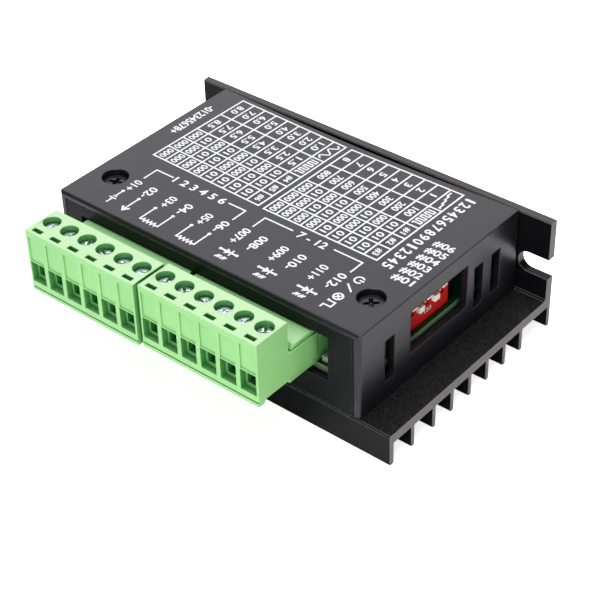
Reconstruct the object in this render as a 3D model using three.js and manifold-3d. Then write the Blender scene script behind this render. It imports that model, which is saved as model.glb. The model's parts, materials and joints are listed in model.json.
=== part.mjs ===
// Stepper motor driver module: an L-shaped finned heat sink under a moulded cover,
// with two pluggable six-way screw terminals at the front and a slide switch at the right end.
// Millimetres, +Z up. z = 0 is the plane of the fin feet and x = 0 is mid-length.
// In the code y counts from the front face of the heat sink's skirt; the finished
// assembly is shifted so that the row's origin lies on the foot of the middle fin.

import * as THREE from 'three';
import { mergeVertices } from 'three/addons/utils/BufferGeometryUtils.js';
import Module from 'manifold-3d';

const wasm = await Module();
wasm.setup();

// ---- Driving dimensions -------------------------------------------------------------

// Heat sink extrusion
const SINK_LENGTH = 96;
const SINK_DEPTH = 56.2;
const DECK_Z = 7.45;
const PLATE_THICK = 2.2;
const SKIRT_THICK = 1.2;
const FIN_THICK = 0.95;
const FIN_FRONTS = [6.95, 14.0, 20.15, 26.3, 32.45, 38.6, 44.75];
const BACK_FIN_THICK = 1.0;
const WALL_THICK = 2.0;
const WALL_TOP = 27.45;
const EDGE_BREAK = 0.3;
const FIN_ROOT = 0.2;
const WALL_ROOT = 0.4;
const FOOT_BREAK = 0.2;
const END_SLOT_WIDTH = 5.0;
const END_SLOT_LENGTH = 7.4;
const END_SLOT_Z = 15.53;

// Moulded cover and front panel
const COVER_LENGTH = 80.8;
const COVER_FRONT = 0.4;
const COVER_BACK = 53.5;
const COVER_BACK_BOW = 1.3;
const COVER_TOP = 28.0;
const COVER_PLATE = 1.8;
const COVER_LIP = 1.2;
const COVER_WALL = 1.6;
const LIP_RADIUS = 0.7;
const CORNER_RADIUS = 0.8;
const PANEL_THICK = 1.2;
const PANEL_GAP = 0.25;
const PANEL_SLIP = 0.15;
const PANEL_LEDGE = { inset: 1, root: 0.5, reach: 1.6, thick: 1.2 };
const PANEL_WINDOW = { x0: -34.3, x1: 32.5, z0: 13.3, z1: 24.05 };
const VENT_WIDTH = 3.1;
const VENT_Z = [11.75, 21.95];
const RIGHT_VENTS = [9.8, 39.7, 45.75];
const LEFT_VENTS = [9.8, 18.5, 27.2, 35.9, 44.6];
const SWITCH_WINDOW = { y0: 16.5, y1: 35.7, z0: 13.75, z1: 24.15 };

// Cover screws and the bosses they pass through
const COVER_SCREW_X = 34.6;
const COVER_SCREW_Y = 11.4;
const HEAD_RECESS_RADIUS = 2.95;
const HEAD_RECESS_FLOOR = 24.5;
const COVER_SCREW_HEAD_RADIUS = 2.7;
const COVER_SCREW_HEAD_TOP = 26.75;
const M3_SHANK_RADIUS = 1.45;
const M3_CLEARANCE_RADIUS = 1.75;
const BOSS_RADIUS = 3.7;
const SPIGOT_RADIUS = 2.6;
const CROSS_RECESS = { reach: 3.2, width: 0.8, depth: 1.2 };
const SCREW_TIP_Z = DECK_Z - PLATE_THICK + 0.2;

// Circuit board
const PCB_HALF_LENGTH = 38.5;
const PCB_FRONT = 2.0;
const PCB_BACK = 52.5;
const PCB_TOP = 15.05;
const PCB_THICK = 1.6;
const SEAT_GAP = 0.1;
const TOUCH_GAP = 0.05;
const SPIGOT_HOLE_RADIUS = 2.9;
const DRIVER_HOLE_RADIUS = 3.3;
const PIN_HOLE_RADIUS = 0.95;

// Driver chip on its pad
const CHIP_SIZE = { x: 33, y: 17.5, z: 4.5 };
const CHIP_Y = 31;
const PAD_THICK = 0.5;
const CHIP_LEADS = 25;
const CHIP_LEAD_PITCH = 1.0;
const CHIP_LEAD = { width: 0.6, thick: 0.4, short: 1.6, long: 3.6 };
const CHIP_SCREW_HEAD_HEIGHT = 1.8;
const PAD_NOTCH_RADIUS = 2.0;

// Parts seen beside the chip
const CAPACITOR = { x: -24, y: 24, radius: 4, height: 10.5, groove: 0.3 };
const LED = { x: 30.6, y: 4.3, length: 3.2, depth: 2.8, height: 1.3, dome: 1.1 };

// Terminals
const POLE_PITCH = 5.08;
const POLES = 6;
const PLUG_WIDTH = POLES * POLE_PITCH - 0.1;
const PLUG_DEPTH = 8.9;
const PLUG_BOTTOM = 15.3;
const PLUG_TOP = 30.35;
const PLUG_FLANGE = 0.8;
const PLUG_REAR_REACH = 17.45;
const TONGUE_Z = [16.4, 22.65];
const SCREW_FROM_FRONT = 5.3;
const TEST_SLOT = { fromFront: 1.3, width: 2.6, depth: 1.1, floor: 28.95 };
const LABEL = { left: 1.85, right: 2.0, low: 22.95, high: 28.85, clip: 0.9, sunk: 0.3, groove: 0.6, rim: 0.28 };
const ENTRY = { width: 4.0, depth: 1.6, z: [17.8, 22.7] };
const WIRE_HOLE = { width: 3.1, z: [18.6, 21.65] };
const PIN_TUNNEL = 2.6;
const SOLE = { reach: 1.6, taper: 0.4, kerf: 0.35, kerfHeight: 0.3 };
const PIN_Z = 19.5;
const PLUGS = [
  { name: 'plug_left', x: -17.6, front: -16.2, firstPole: 1 },
  { name: 'plug_right', x: 13.5, front: -15.55, firstPole: 7 },
];

// Fixed headers
const HEADER_WIDTH = 29.9;
const HEADER_FRONT = -6.3;
const HEADER_BACK = 5.9;
const HEADER_TOP = 23.75;
const HEADER_FLOOR = 1.1;
const HEADER_ROOF = 0.95;
const HEADER_CAVITY_BACK = 2.3;
const HEADER_NOSE = { flat: 1.6, setback: 0.6, drop: 0.2 };
const PIN_WIDTH = 1.0;
const PIN_LEG_Y = 3.9;
const PIN_TIP = { y: -5.0, half: 0.25, taper: 0.6 };
const PIN_BELOW_BOARD = 0.9;
const PIN_ROOM = PIN_WIDTH + 0.3;

// Clamp screw and rising cage
const CLAMP_HOLE_RADIUS = 1.95;
const CLAMP_HEAD_RADIUS = 1.65;
const CLAMP_HEAD_TOP = 28.95;
const CLAMP_HEAD_HEIGHT = 1.6;
const CLAMP_SHANK_RADIUS = 1.2;
const CLAMP_TIP_Z = 21.7;
const CLAMP_CLEARANCE = 0.15;
const CLAMP_SLOT = { width: 0.6, depth: 0.7, barRadius: 1.05 };
const CAGE = { width: 3.6, depth: 4.2, bottom: 17.65, top: 22.9, openWidth: 2.7, openZ: [18.65, 21.55] };
const CAGE_ROOM = { width: 4.1, depth: 4.8, bottom: 17.3, top: 25.7 };

// Slide switch
const SWITCH_FACE_X = 37.4;
const SWITCH_DEPTH = 5.8;
const SWITCH_Y = 24.6;
const SWITCH_LENGTH = 17.2;
const SWITCH_HEIGHT = 9.9;
const SWITCH_PITCH = 2.54;
const SLIDER_DOWN_Z = 19.55;
const SLIDER_TRAVEL = 2.0;
const SLIDER = { width: 1.6, height: 1.5, proud: 0.9, sunk: 0.3, corner: 0.1 };
const SLIDER_PLAY = 0.12;
const SLIDER_FLOOR_GAP = 0.1;

const ORIGIN_FIN = FIN_FRONTS[3] + FIN_THICK / 2;
const HOLE_SEGMENTS = 24;

// ---- Materials ----------------------------------------------------------------------

const finish = (color, roughness, metalness = 0) => ({ color, roughness, metalness });
const ANODISED = finish(0x1b1a1c, 0.45, 0.6);
const COVER_PLASTIC = finish(0x2b2a2f, 0.55);
const PANEL_PLASTIC = finish(0x1d1e20, 0.5);
const BLACK_STEEL = finish(0x161618, 0.35, 0.8);
const TERMINAL_GREEN = finish(0x7fcf6a, 0.5);
const BRIGHT_STEEL = finish(0xb9c2cc, 0.25, 1);
const TINNED_BRASS = finish(0xc9c2a8, 0.3, 1);
const SWITCH_RED = finish(0xc4131c, 0.45);
const SLIDER_CREAM = finish(0xf1e9dc, 0.5);
const BOARD_GREEN = finish(0x0e6b33, 0.4);
const CHIP_BLACK = finish(0x1a1a1c, 0.6);
const PAD_GREY = finish(0x9aa0a6, 0.9);
const CAN_ALUMINIUM = finish(0xb8bcc2, 0.35, 0.9);
const LED_CLEAR = finish(0xe8f2dc, 0.2);

// ---- Geometry helpers ---------------------------------------------------------------

const PROFILE_ALONG_X = new THREE.Matrix4().makeBasis(
  new THREE.Vector3(0, 1, 0), new THREE.Vector3(0, 0, 1), new THREE.Vector3(1, 0, 0));
const PROFILE_ALONG_Y = new THREE.Matrix4().makeBasis(
  new THREE.Vector3(1, 0, 0), new THREE.Vector3(0, 0, 1), new THREE.Vector3(0, -1, 0));

// A closed geometry as a solid that can be joined and cut.
function solid(geometry) {
  const bare = geometry.clone();
  bare.deleteAttribute('normal');
  bare.deleteAttribute('uv');
  const merged = mergeVertices(bare, 1e-4);
  return new wasm.Manifold(new wasm.Mesh({
    numProp: 3,
    vertProperties: new Float32Array(merged.attributes.position.array),
    triVerts: new Uint32Array(merged.index.array),
  }));
}

function geometryOf(manifold) {
  const mesh = manifold.getMesh();
  const geometry = new THREE.BufferGeometry();
  geometry.setAttribute('position', new THREE.BufferAttribute(mesh.vertProperties, 3));
  geometry.setIndex(new THREE.BufferAttribute(mesh.triVerts, 1));
  geometry.computeVertexNormals();
  return geometry;
}

const cut = (body, ...tools) => tools.flat().reduce((rest, tool) => rest.subtract(tool), body);
const join = (...bodies) => bodies.flat().reduce((sum, body) => sum.add(body));

function box([x0, x1], [y0, y1], [z0, z1]) {
  const geometry = new THREE.BoxGeometry(x1 - x0, y1 - y0, z1 - z0);
  geometry.translate((x0 + x1) / 2, (y0 + y1) / 2, (z0 + z1) / 2);
  return solid(geometry);
}

const around = (centre, size) => [centre - size / 2, centre + size / 2];

// Upright round bar or hole.
function post(x, y, radius, [z0, z1], segments = HOLE_SEGMENTS) {
  const geometry = new THREE.CylinderGeometry(radius, radius, z1 - z0, segments);
  geometry.rotateX(Math.PI / 2);
  geometry.translate(x, y, (z0 + z1) / 2);
  return solid(geometry);
}

const outline = points => new THREE.Shape(points.map(([u, v]) => new THREE.Vector2(u, v)));

function extrude(shape, depth) {
  return new THREE.ExtrudeGeometry(shape, { depth, bevelEnabled: false, curveSegments: 6 });
}

// A (y, z) outline swept along X.
function profileAlongX(shape, [x0, x1]) {
  const geometry = extrude(shape, x1 - x0);
  geometry.applyMatrix4(PROFILE_ALONG_X);
  geometry.translate(x0, 0, 0);
  return solid(geometry);
}

// An (x, z) outline swept along Y.
function profileAlongY(shape, [y0, y1]) {
  const geometry = extrude(shape, y1 - y0);
  geometry.applyMatrix4(PROFILE_ALONG_Y);
  geometry.translate(0, y1, 0);
  return solid(geometry);
}

// An (x, y) outline swept along Z.
function profileAlongZ(shape, [z0, z1]) {
  const geometry = extrude(shape, z1 - z0);
  geometry.translate(0, 0, z0);
  return solid(geometry);
}

function meshOf(name, manifold, material) {
  const mesh = new THREE.Mesh(geometryOf(manifold), new THREE.MeshStandardMaterial(material));
  mesh.name = name;
  return mesh;
}

// ---- Heat sink ----------------------------------------------------------------------

// One fin as outline points, walked from its back face to its front face.
function finPoints(front, thick) {
  const back = front + thick;
  const under = DECK_Z - PLATE_THICK;
  const tip = FOOT_BREAK;
  return [
    [back + FIN_ROOT, under], [back, under - FIN_ROOT], [back, tip], [back - tip, 0],
    [front + tip, 0], [front, tip], [front, under - FIN_ROOT], [front - FIN_ROOT, under],
  ];
}

function sinkOutline() {
  const under = DECK_Z - PLATE_THICK;
  const wallFront = SINK_DEPTH - WALL_THICK;
  const backFin = SINK_DEPTH - BACK_FIN_THICK;
  const fins = [...FIN_FRONTS].reverse().flatMap(front => finPoints(front, FIN_THICK));
  return outline([
    [FOOT_BREAK, 0], [0, FOOT_BREAK], [0, DECK_Z - EDGE_BREAK], [EDGE_BREAK, DECK_Z],
    [wallFront - WALL_ROOT, DECK_Z], [wallFront, DECK_Z + WALL_ROOT],
    [wallFront, WALL_TOP - EDGE_BREAK], [wallFront + EDGE_BREAK, WALL_TOP],
    [SINK_DEPTH - EDGE_BREAK, WALL_TOP], [SINK_DEPTH, WALL_TOP - EDGE_BREAK],
    [SINK_DEPTH, FOOT_BREAK], [SINK_DEPTH - FOOT_BREAK, 0],
    [backFin + FOOT_BREAK, 0], [backFin, FOOT_BREAK],
    [backFin, under - FIN_ROOT], [backFin - FIN_ROOT, under],
    ...fins,
    [SKIRT_THICK + FIN_ROOT, under], [SKIRT_THICK, under - FIN_ROOT],
    [SKIRT_THICK, FOOT_BREAK], [SKIRT_THICK - FOOT_BREAK, 0],
  ].reverse());
}

// Open-ended mounting slot through the back wall; side is +1 for the right end.
function endSlot(side) {
  const radius = END_SLOT_WIDTH / 2;
  const inner = SINK_LENGTH / 2 - END_SLOT_LENGTH + radius;
  const beyond = SINK_LENGTH / 2 + 1;
  const shape = new THREE.Shape();
  shape.moveTo(beyond, END_SLOT_Z - radius);
  shape.lineTo(beyond, END_SLOT_Z + radius);
  shape.lineTo(inner, END_SLOT_Z + radius);
  shape.absarc(inner, END_SLOT_Z, radius, Math.PI / 2, Math.PI * 1.5, false);
  const slot = profileAlongY(shape, [SINK_DEPTH - WALL_THICK - 1, SINK_DEPTH + 1]);
  return side > 0 ? slot : slot.mirror([1, 0, 0]);
}

function heatSink() {
  const plate = [DECK_Z - PLATE_THICK - 1, DECK_Z + 1];
  const coverHoles = [-1, 1].map(s => post(s * COVER_SCREW_X, COVER_SCREW_Y, M3_CLEARANCE_RADIUS, plate));
  const chipHoles = [-1, 1].map(s => post(s * CHIP_SIZE.x / 2, CHIP_Y, M3_CLEARANCE_RADIUS, plate));
  const body = profileAlongX(sinkOutline(), around(0, SINK_LENGTH));
  return meshOf('heat_sink', cut(body, endSlot(1), endSlot(-1), coverHoles, chipHoles), ANODISED);
}

// ---- Cover and front panel ----------------------------------------------------------

// Plan of the cover: rounded front corners and a shallow bow along the free back edge.
function coverPlan() {
  const half = COVER_LENGTH / 2;
  const r = CORNER_RADIUS;
  const shape = new THREE.Shape();
  shape.moveTo(-half + r, COVER_FRONT);
  shape.lineTo(half - r, COVER_FRONT);
  shape.absarc(half - r, COVER_FRONT + r, r, -Math.PI / 2, 0, false);
  shape.lineTo(half, COVER_BACK);
  const steps = 12;
  for (let i = 1; i < steps; i += 1) {
    const u = 1 - 2 * i / steps;
    shape.lineTo(u * half, COVER_BACK - COVER_BACK_BOW * (1 - u * u));
  }
  shape.lineTo(-half, COVER_BACK);
  shape.lineTo(-half, COVER_FRONT + r);
  shape.absarc(-half + r, COVER_FRONT + r, r, Math.PI, Math.PI * 1.5, false);
  return profileAlongZ(shape, [DECK_Z, COVER_TOP]);
}

// Section of the top plate: rounded front edge, thinner lip over the front panel.
function platePrism() {
  const under = COVER_TOP - COVER_PLATE;
  const lipBack = COVER_FRONT + PANEL_THICK + PANEL_SLIP;
  const shape = new THREE.Shape();
  shape.moveTo(COVER_FRONT, COVER_TOP - COVER_LIP);
  shape.lineTo(lipBack, COVER_TOP - COVER_LIP);
  shape.lineTo(lipBack, under);
  shape.lineTo(COVER_BACK + 1, under);
  shape.lineTo(COVER_BACK + 1, COVER_TOP);
  shape.lineTo(COVER_FRONT + LIP_RADIUS, COVER_TOP);
  shape.absarc(COVER_FRONT + LIP_RADIUS, COVER_TOP - LIP_RADIUS, LIP_RADIUS, Math.PI / 2, Math.PI, false);
  return profileAlongX(shape, around(0, COVER_LENGTH));
}

function coverEndWall(side) {
  const half = COVER_LENGTH / 2;
  const inner = half - COVER_WALL;
  const section = outline([
    [COVER_FRONT, DECK_Z], [COVER_BACK, DECK_Z], [COVER_BACK, COVER_TOP - 1], [COVER_FRONT, COVER_TOP - 1],
  ]);
  return profileAlongX(section, side > 0 ? [inner, half] : [-half, -inner]);
}

function coverBoss(side) {
  const x = side * COVER_SCREW_X;
  const collar = post(x, COVER_SCREW_Y, BOSS_RADIUS, [PCB_TOP + SEAT_GAP, COVER_TOP - 1]);
  const spigot = post(x, COVER_SCREW_Y, SPIGOT_RADIUS, [DECK_Z, PCB_TOP + 1]);
  return join(collar, spigot);
}

function topCover() {
  const half = COVER_LENGTH / 2;
  const through = side => (side > 0 ? [half - COVER_WALL - 1, half + 1] : [-half - 1, -half + COVER_WALL + 1]);
  const vents = (side, places) => places.map(y => box(through(side), around(y, VENT_WIDTH), VENT_Z));
  const { y0, y1, z0, z1 } = SWITCH_WINDOW;
  const shell = join(platePrism(), coverEndWall(1), coverEndWall(-1), coverBoss(1), coverBoss(-1));
  const holes = [-1, 1].flatMap(s => [
    post(s * COVER_SCREW_X, COVER_SCREW_Y, HEAD_RECESS_RADIUS, [HEAD_RECESS_FLOOR, COVER_TOP + 1], 32),
    post(s * COVER_SCREW_X, COVER_SCREW_Y, M3_CLEARANCE_RADIUS, [DECK_Z - 1, COVER_TOP]),
  ]);
  const openings = [...vents(1, RIGHT_VENTS), ...vents(-1, LEFT_VENTS), box(through(1), [y0, y1], [z0, z1])];
  return meshOf('top_cover', cut(shell.intersect(coverPlan()), holes, openings), COVER_PLASTIC);
}

function frontPanel() {
  const half = COVER_LENGTH / 2 - COVER_WALL - PANEL_GAP;
  const back = COVER_FRONT + PANEL_THICK;
  const top = COVER_TOP - COVER_LIP - TOUCH_GAP;
  const { x0, x1, z0, z1 } = PANEL_WINDOW;
  const sheet = box([-half, half], [COVER_FRONT, back], [DECK_Z, top]);
  const window = box([x0, x1], [COVER_FRONT - 1, back + 1], [z0, z1]);
  const ledgeTop = PCB_TOP - PCB_THICK - SEAT_GAP;
  const { inset, root, reach, thick } = PANEL_LEDGE;
  const ledge = box([-half + inset, half - inset], [back - root, back + reach], [ledgeTop - thick, ledgeTop]);
  return meshOf('front_panel', join(cut(sheet, window), ledge), PANEL_PLASTIC);
}

// Cross recess for a screw head whose top is at z.
function crossRecess(x, y, z, reach, width, depth, angle) {
  return [0, Math.PI / 2].map(turn => {
    const geometry = new THREE.BoxGeometry(reach, width, depth * 2);
    geometry.rotateZ(angle + turn);
    geometry.translate(x, y, z);
    return solid(geometry);
  });
}

// Cylinder-head screw along Z with a cross recess.
function crossScrew(name, x, y, headTop, headSeat, angle) {
  const head = post(x, y, COVER_SCREW_HEAD_RADIUS, [headSeat, headTop]);
  const shank = post(x, y, M3_SHANK_RADIUS, [SCREW_TIP_Z, headSeat + 0.5]);
  const { reach, width, depth } = CROSS_RECESS;
  const recess = crossRecess(x, y, headTop, reach, width, depth, angle);
  return meshOf(name, cut(join(head, shank), recess), BLACK_STEEL);
}

function coverScrews() {
  const seat = HEAD_RECESS_FLOOR + SEAT_GAP;
  return [
    crossScrew('cover_screw_left', -COVER_SCREW_X, COVER_SCREW_Y, COVER_SCREW_HEAD_TOP, seat, 0.3),
    crossScrew('cover_screw_right', COVER_SCREW_X, COVER_SCREW_Y, COVER_SCREW_HEAD_TOP, seat, 0.75),
  ];
}

// ---- Circuit board and the parts on it ----------------------------------------------

function polePlaces() {
  return PLUGS.flatMap(plug => Array.from({ length: POLES }, (_, i) => ({
    number: plug.firstPole + i,
    x: plug.x + (i - (POLES - 1) / 2) * POLE_PITCH,
    y: plug.front + SCREW_FROM_FRONT,
  })));
}

function circuitBoard() {
  const span = [PCB_TOP - PCB_THICK, PCB_TOP];
  const drill = [span[0] - 1, span[1] + 1];
  const board = box([-PCB_HALF_LENGTH, PCB_HALF_LENGTH], [PCB_FRONT, PCB_BACK], span);
  const spigotHoles = [-1, 1].map(s => post(s * COVER_SCREW_X, COVER_SCREW_Y, SPIGOT_HOLE_RADIUS, drill));
  const driverHoles = [-1, 1].map(s => post(s * CHIP_SIZE.x / 2, CHIP_Y, DRIVER_HOLE_RADIUS, drill));
  const pinHoles = polePlaces().map(({ x }) => post(x, PIN_LEG_Y, PIN_HOLE_RADIUS, drill, 8));
  return meshOf('pcb', cut(board, spigotHoles, driverHoles, pinHoles), BOARD_GREEN);
}

function driverChip() {
  const bottom = DECK_Z + PAD_THICK;
  const top = bottom + CHIP_SIZE.z;
  const rear = CHIP_Y + CHIP_SIZE.y / 2;
  const exitZ = bottom + CHIP_SIZE.z * 0.5;
  const body = box(around(0, CHIP_SIZE.x), around(CHIP_Y, CHIP_SIZE.y), [bottom, top]);
  const through = [bottom - 1, top + 1];
  const notches = [-1, 1].map(s => post(s * CHIP_SIZE.x / 2, CHIP_Y, M3_CLEARANCE_RADIUS, through));
  const leads = Array.from({ length: CHIP_LEADS }, (_, i) => {
    const { width, thick } = CHIP_LEAD;
    const x = around((i - (CHIP_LEADS - 1) / 2) * CHIP_LEAD_PITCH, width);
    const end = rear + (i % 2 === 0 ? CHIP_LEAD.short : CHIP_LEAD.long);
    const run = box(x, [rear - 0.5, end], around(exitZ, thick));
    const rise = box(x, [end - thick, end], [exitZ - thick / 2, PCB_TOP - PCB_THICK - TOUCH_GAP]);
    return join(run, rise);
  });
  return meshOf('driver_chip', join(cut(body, notches), leads), CHIP_BLACK);
}

function thermalPad() {
  const span = [DECK_Z, DECK_Z + PAD_THICK - TOUCH_GAP];
  const sheet = box(around(0, CHIP_SIZE.x + 1), around(CHIP_Y, CHIP_SIZE.y + 1), span);
  const through = [span[0] - 1, span[1] + 1];
  const notches = [-1, 1].map(s => post(s * CHIP_SIZE.x / 2, CHIP_Y, PAD_NOTCH_RADIUS, through));
  return meshOf('thermal_pad', cut(sheet, notches), PAD_GREY);
}

function chipScrews() {
  const seat = DECK_Z + PAD_THICK + CHIP_SIZE.z + TOUCH_GAP;
  const top = seat + CHIP_SCREW_HEAD_HEIGHT;
  const x = CHIP_SIZE.x / 2;
  return [
    crossScrew('chip_screw_left', -x, CHIP_Y, top, seat, 0.2),
    crossScrew('chip_screw_right', x, CHIP_Y, top, seat, 1.1),
  ];
}

// Aluminium can with a crimped groove above its base.
function capacitor() {
  const { x, y, radius, height, groove } = CAPACITOR;
  const crimp = height * 0.17;
  const profile = [
    [0, 0], [radius - groove, 0], [radius, 0.4], [radius, crimp - 0.4], [radius - groove, crimp],
    [radius, crimp + 0.4], [radius, height - 0.5], [radius - 0.4, height], [0, height],
  ].map(([r, z]) => new THREE.Vector2(r, z));
  const geometry = new THREE.LatheGeometry(profile, 24);
  geometry.rotateX(Math.PI / 2);
  geometry.translate(x, y, PCB_TOP + SEAT_GAP);
  return meshOf('capacitor_1', solid(geometry), CAN_ALUMINIUM);
}

function statusLed() {
  const top = PCB_TOP + LED.height;
  const base = box(around(LED.x, LED.length), around(LED.y, LED.depth), [PCB_TOP + TOUCH_GAP, top]);
  const dome = new THREE.SphereGeometry(LED.dome, 16, 10);
  dome.rotateX(Math.PI / 2);
  dome.translate(LED.x, LED.y, top);
  return meshOf('status_led', join(base, solid(dome)), LED_CLEAR);
}

// ---- Slide switch -------------------------------------------------------------------

const switchPlaces = Array.from({ length: 6 }, (_, i) => ({
  number: i + 1,
  y: SWITCH_Y + (i - 2.5) * SWITCH_PITCH,
  isUp: i % 2 === 1,
}));

function switchBody() {
  const bottom = PCB_TOP + SEAT_GAP;
  const block = box([SWITCH_FACE_X - SWITCH_DEPTH, SWITCH_FACE_X], around(SWITCH_Y, SWITCH_LENGTH),
    [bottom, bottom + SWITCH_HEIGHT]);
  const margin = SLIDER.height / 2 + SLIDER_PLAY;
  const slotZ = [SLIDER_DOWN_Z - margin, SLIDER_DOWN_Z + SLIDER_TRAVEL + margin];
  const slotX = [SWITCH_FACE_X - SLIDER.sunk - SLIDER_FLOOR_GAP, SWITCH_FACE_X + 1];
  const slots = switchPlaces.map(({ y }) => box(slotX, around(y, SLIDER.width + 2 * SLIDER_PLAY), slotZ));
  return meshOf('dip_body', cut(block, slots), SWITCH_RED);
}

function switchSliders() {
  return switchPlaces.map(({ number, y, isUp }) => {
    const z = SLIDER_DOWN_Z + (isUp ? SLIDER_TRAVEL : 0);
    const { proud, sunk, corner } = SLIDER;
    const half = SLIDER.height / 2;
    const foot = SWITCH_FACE_X - sunk;
    const face = SWITCH_FACE_X + proud;
    const section = outline([
      [foot, z - half], [face - corner, z - half], [face, z - half + corner],
      [face, z + half - corner], [face - corner, z + half], [foot, z + half],
    ]);
    return meshOf(`dip_slider_${number}`, profileAlongY(section, around(y, SLIDER.width)), SLIDER_CREAM);
  });
}

// ---- Fixed headers and their pins ---------------------------------------------------

function header(name, plug) {
  const bottom = PCB_TOP + SEAT_GAP;
  const floor = bottom + HEADER_FLOOR;
  const roof = HEADER_TOP - HEADER_ROOF;
  const section = outline([
    [HEADER_FRONT, bottom], [HEADER_BACK, bottom], [HEADER_BACK, HEADER_TOP],
    [HEADER_FRONT + HEADER_NOSE.flat, HEADER_TOP],
    [HEADER_FRONT + HEADER_NOSE.setback, roof + HEADER_NOSE.drop],
    [HEADER_FRONT + HEADER_NOSE.setback, roof],
    [HEADER_CAVITY_BACK, roof], [HEADER_CAVITY_BACK, floor], [HEADER_FRONT, floor],
  ]);
  const body = profileAlongX(section, around(plug.x, HEADER_WIDTH));
  const channels = polePlaces().filter(({ x }) => Math.abs(x - plug.x) < HEADER_WIDTH / 2).flatMap(({ x }) => [
    box(around(x, PIN_ROOM), [HEADER_CAVITY_BACK - 1, PIN_LEG_Y + PIN_ROOM / 2], around(PIN_Z, PIN_ROOM)),
    box(around(x, PIN_ROOM), around(PIN_LEG_Y, PIN_ROOM), [bottom - 1, PIN_Z + PIN_ROOM / 2]),
  ]);
  return meshOf(name, cut(body, channels), TERMINAL_GREEN);
}

function headerPins() {
  const half = PIN_WIDTH / 2;
  const end = PCB_TOP - PCB_THICK - PIN_BELOW_BOARD;
  const full = PIN_TIP.y + PIN_TIP.taper;
  const section = outline([
    [PIN_TIP.y, PIN_Z - PIN_TIP.half], [full, PIN_Z - half], [PIN_LEG_Y - half, PIN_Z - half],
    [PIN_LEG_Y - half, end], [PIN_LEG_Y + half, end],
    [PIN_LEG_Y + half, PIN_Z + half], [full, PIN_Z + half], [PIN_TIP.y, PIN_Z + PIN_TIP.half],
  ]);
  return polePlaces().map(({ number, x }) =>
    meshOf(`header_pin_${number}`, profileAlongX(section, around(x, PIN_WIDTH)), TINNED_BRASS));
}

// ---- Plugs, clamp screws and cages --------------------------------------------------

// Label field of one pole: an (x, z) outline with a clipped top right corner.
function labelOutline(x, shift) {
  const left = x - LABEL.left - shift;
  const right = x + LABEL.right - shift;
  const low = LABEL.low - shift;
  const high = LABEL.high - shift;
  const { clip } = LABEL;
  return outline([[left, low], [right, low], [right, high - clip], [right - clip, high], [left, high]]);
}

function labelRecess(x, front) {
  const field = profileAlongY(labelOutline(x, 0), [front - 1, front + LABEL.sunk]);
  const groove = profileAlongY(labelOutline(x, 0), [front - 1, front + LABEL.groove]);
  const keep = profileAlongY(labelOutline(x, LABEL.rim), [front - 2, front + 1]);
  return join(field, groove.subtract(keep));
}

// Everything that one pole cuts out of the plug body.
function poleRoom(x, front, rear) {
  const y = front + SCREW_FROM_FRONT;
  const room = CAGE_ROOM;
  const slot = TEST_SLOT;
  return [
    labelRecess(x, front),
    box(around(x, slot.width), around(front + slot.fromFront, slot.depth), [slot.floor, PLUG_TOP + 1]),
    post(x, y, CLAMP_HOLE_RADIUS, [CLAMP_HEAD_TOP - CLAMP_HEAD_HEIGHT - CLAMP_CLEARANCE, PLUG_TOP + 1]),
    post(x, y, CLAMP_SHANK_RADIUS + 0.35, [room.top - 1, PLUG_TOP]),
    box(around(x, room.width), around(y, room.depth), [room.bottom, room.top]),
    box(around(x, ENTRY.width), [front - 1, front + ENTRY.depth], ENTRY.z),
    box(around(x, WIRE_HOLE.width), [front, y], WIRE_HOLE.z),
    box(around(x, PIN_TUNNEL), [y, rear + 1], around(PIN_Z, PIN_TUNNEL)),
  ];
}

function plugSection(front, rear) {
  const back = front + PLUG_DEPTH;
  const under = PLUG_BOTTOM + PLUG_FLANGE;
  const kerfTop = under + SOLE.kerfHeight;
  return outline([
    [front, PLUG_BOTTOM], [front + SOLE.reach, PLUG_BOTTOM],
    [front + SOLE.reach + SOLE.taper, under], [back, under],
    [back, TONGUE_Z[0]], [rear, TONGUE_Z[0]], [rear, TONGUE_Z[1]], [back, TONGUE_Z[1]],
    [back, PLUG_TOP], [front, PLUG_TOP], [front, kerfTop], [front + SOLE.kerf, kerfTop],
    [front + SOLE.kerf, under], [front, under],
  ]);
}

function plugBody({ name, x, front }) {
  const rear = front + PLUG_REAR_REACH;
  const body = profileAlongX(plugSection(front, rear), around(x, PLUG_WIDTH));
  const rooms = polePlaces().filter(pole => Math.abs(pole.x - x) < PLUG_WIDTH / 2)
    .flatMap(pole => poleRoom(pole.x, front, rear));
  return meshOf(name, cut(body, rooms), TERMINAL_GREEN);
}

function clampScrews() {
  return polePlaces().map(({ number, x, y }) => {
    const seat = CLAMP_HEAD_TOP - CLAMP_HEAD_HEIGHT;
    const head = post(x, y, CLAMP_HEAD_RADIUS, [seat, CLAMP_HEAD_TOP], 20);
    const shank = post(x, y, CLAMP_SHANK_RADIUS, [CLAMP_TIP_Z, seat + 0.5], 12);
    const { width, depth, barRadius } = CLAMP_SLOT;
    const [slot, bar] = crossRecess(x, y, CLAMP_HEAD_TOP, 4, width, depth, number * 0.7);
    const shortBar = bar.intersect(post(x, y, barRadius, [CLAMP_HEAD_TOP - 1, CLAMP_HEAD_TOP + 1], 12));
    return meshOf(`clamp_screw_${number}`, cut(join(head, shank), slot, shortBar), BRIGHT_STEEL);
  });
}

function wireCages() {
  const { width, depth, bottom, top, openWidth, openZ } = CAGE;
  return polePlaces().map(({ number, x, y }) => {
    const frame = box(around(x, width), around(y, depth), [bottom, top]);
    const opening = box(around(x, openWidth), around(y, depth + 2), openZ);
    const thread = post(x, y, CLAMP_SHANK_RADIUS + 0.2, [openZ[1] - 0.5, top + 1], 12);
    return meshOf(`wire_cage_${number}`, cut(frame, opening, thread), TINNED_BRASS);
  });
}

// ---- Assembly -----------------------------------------------------------------------

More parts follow.
